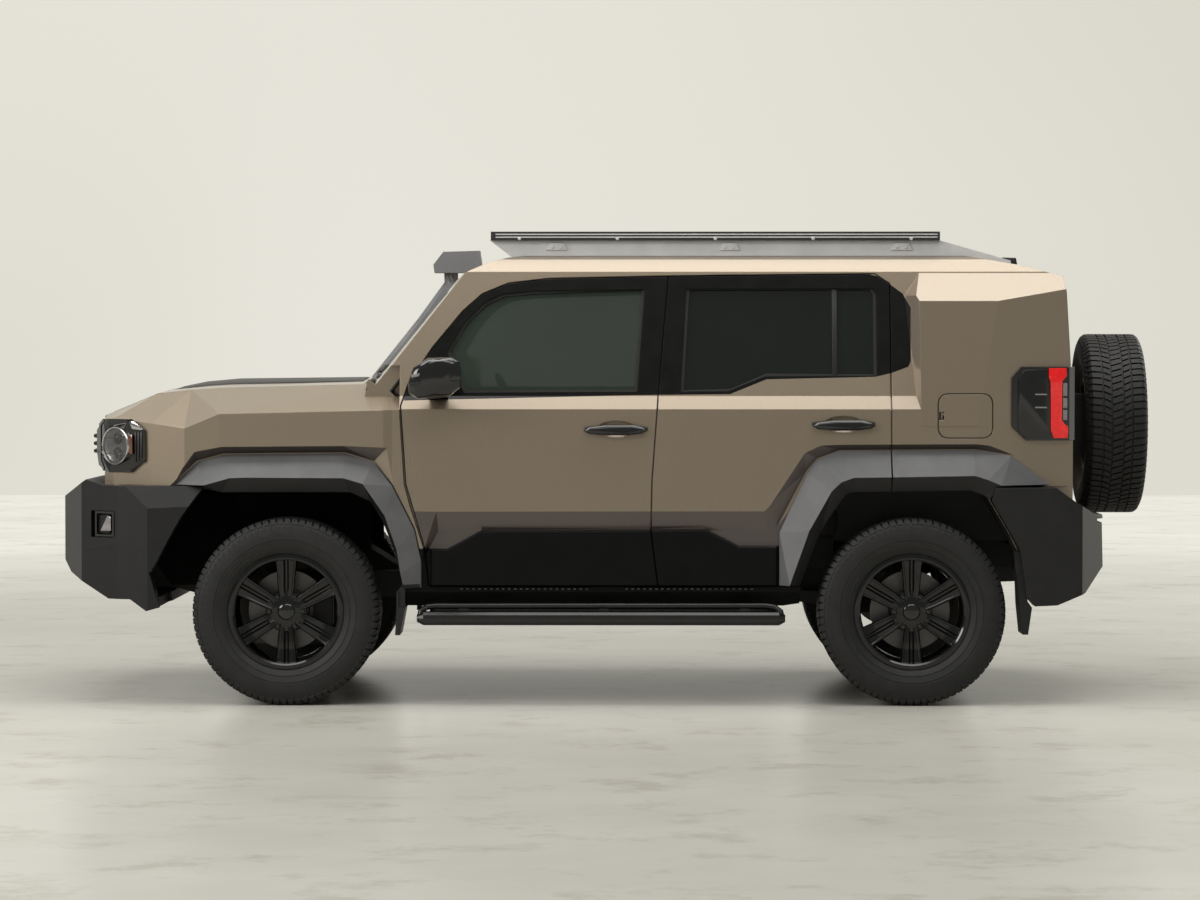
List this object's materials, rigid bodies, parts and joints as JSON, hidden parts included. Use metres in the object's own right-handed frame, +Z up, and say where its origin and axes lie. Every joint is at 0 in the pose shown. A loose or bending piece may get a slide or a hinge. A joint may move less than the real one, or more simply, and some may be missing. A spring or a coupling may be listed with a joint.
{
  "type": "lifted off-road 4x4",
  "caption": "Compact lifted off-road wagon with side doors, a side-hinged tailgate that carries the spare wheel, a roof rack, a snorkel, side steps and steel-look bumpers.",
  "frame": {"origin": "on the ground below the middle of the car's bounding box", "axes": "+X forward, +Y to the car's left, +Z up"},
  "size_m": [4.575, 2.12, 1.959],
  "materials": {
    "paint": "satin grey-beige metallic paint",
    "flare": "mid-grey grained plastic",
    "bumper": "dark grey textured plastic",
    "black": "black plastic",
    "gloss": "gloss black plastic",
    "lamp": "lamp housing and lens",
    "clear_glass": "green-tinted glass",
    "dark_glass": "dark privacy glass",
    "tyre": "black rubber",
    "rim": "gloss black painted alloy",
    "chassis": "black painted steel",
    "rack": "black powder-coated metal",
    "rack_base": "light grey painted metal",
    "seat": "black upholstery",
    "trim": "black soft-touch plastic"
  },
  "bodies": {
    "body": {"body_shell": "paint", "chassis_frame": "chassis", "dashboard": "trim", "engine": "chassis", "fender_left": "paint", "fender_right": "paint", "front_axle": "chassis", "front_bumper": "bumper", "front_flare_left": "flare", "front_flare_right": "flare", "front_seat_left": "seat", "front_seat_right": "seat", "grille": "black", "headlamp_left": "lamp", "headlamp_right": "lamp", "rack_base": "rack_base", "rear_axle": "chassis", "rear_bumper": "bumper", "rear_flare_left": "flare", "rear_flare_right": "flare", "rear_seat": "seat", "roof_rack": "rack", "side_step_left": "bumper", "side_step_right": "bumper", "snorkel": "bumper", "tail_lamp_left": "lamp", "tail_lamp_right": "lamp", "windscreen": "clear_glass"},
    "hood": {"hood": "paint"},
    "fuel_flap": {"fuel_flap": "paint"},
    "tailgate": {"tailgate": "paint", "tailgate_glass": "dark_glass", "spare_tyre": "tyre", "spare_rim": "rim"},
    "knuckle_left": {"knuckle_left": "chassis"},
    "wheel_front_left": {"tyre_front_left": "tyre", "rim_front_left": "rim"},
    "wheel_rear_left": {"tyre_rear_left": "tyre", "rim_rear_left": "rim"},
    "door_front_left": {"door_front_left": "paint", "door_glass_front_left": "clear_glass", "mirror_left": "gloss"},
    "door_rear_left": {"door_rear_left": "paint", "door_glass_rear_left": "dark_glass", "door_flare_left": "flare"},
    "knuckle_right": {"knuckle_right": "chassis"},
    "wheel_front_right": {"tyre_front_right": "tyre", "rim_front_right": "rim"},
    "wheel_rear_right": {"tyre_rear_right": "tyre", "rim_rear_right": "rim"},
    "door_front_right": {"door_front_right": "paint", "door_glass_front_right": "clear_glass", "mirror_right": "gloss"},
    "door_rear_right": {"door_rear_right": "paint", "door_glass_rear_right": "dark_glass", "door_flare_right": "flare"}
  },
  "joints": [
    {"name": "steering_left", "type": "hinge", "parent": "body", "child": "knuckle_left", "pos_m": [1.333, 0.7, 0.38631], "axis": [0, 0, 1], "range_deg": [-32, 32]},
    {"name": "wheel_front_left_spin", "type": "hinge", "parent": "knuckle_left", "child": "wheel_front_left", "pos_m": [1.333, 0.79, 0.38631], "axis": [0, 1, 0], "continuous": true},
    {"name": "wheel_rear_left_spin", "type": "hinge", "parent": "body", "child": "wheel_rear_left", "pos_m": [-1.247, 0.79, 0.38631], "axis": [0, 1, 0], "continuous": true},
    {"name": "door_front_left_hinge", "type": "hinge", "parent": "body", "child": "door_front_left", "pos_m": [0.815, 0.875, 0.895], "axis": [0, 0, -1], "range_deg": [0, 65]},
    {"name": "door_rear_left_hinge", "type": "hinge", "parent": "body", "child": "door_rear_left", "pos_m": [-0.203, 0.875, 0.895], "axis": [0, 0, -1], "range_deg": [0, 65]},
    {"name": "steering_right", "type": "hinge", "parent": "body", "child": "knuckle_right", "pos_m": [1.333, -0.7, 0.38631], "axis": [0, 0, 1], "range_deg": [-32, 32]},
    {"name": "wheel_front_right_spin", "type": "hinge", "parent": "knuckle_right", "child": "wheel_front_right", "pos_m": [1.333, -0.79, 0.38631], "axis": [0, 1, 0], "continuous": true},
    {"name": "wheel_rear_right_spin", "type": "hinge", "parent": "body", "child": "wheel_rear_right", "pos_m": [-1.247, -0.79, 0.38631], "axis": [0, 1, 0], "continuous": true},
    {"name": "door_front_right_hinge", "type": "hinge", "parent": "body", "child": "door_front_right", "pos_m": [0.815, -0.875, 0.895], "axis": [0, 0, 1], "range_deg": [0, 65]},
    {"name": "door_rear_right_hinge", "type": "hinge", "parent": "body", "child": "door_rear_right", "pos_m": [-0.203, -0.875, 0.895], "axis": [0, 0, 1], "range_deg": [0, 65]},
    {"name": "hood_hinge", "type": "hinge", "parent": "body", "child": "hood", "pos_m": [1.042, 0, 1.318], "axis": [0, -1, 0], "range_deg": [0, 50]},
    {"name": "tailgate_hinge", "type": "hinge", "parent": "body", "child": "tailgate", "pos_m": [-1.93, -0.668, 1], "axis": [0, 0, 1], "range_deg": [0, 88]},
    {"name": "fuel_flap_hinge", "type": "hinge", "parent": "body", "child": "fuel_flap", "pos_m": [-1.369, 0.877, 1.1935], "axis": [0, 0, -1], "range_deg": [0, 100]}
  ],
  "couplings": [
    {"joint": "steering_right", "follows": "steering_left", "ratio": 1}
  ]
}
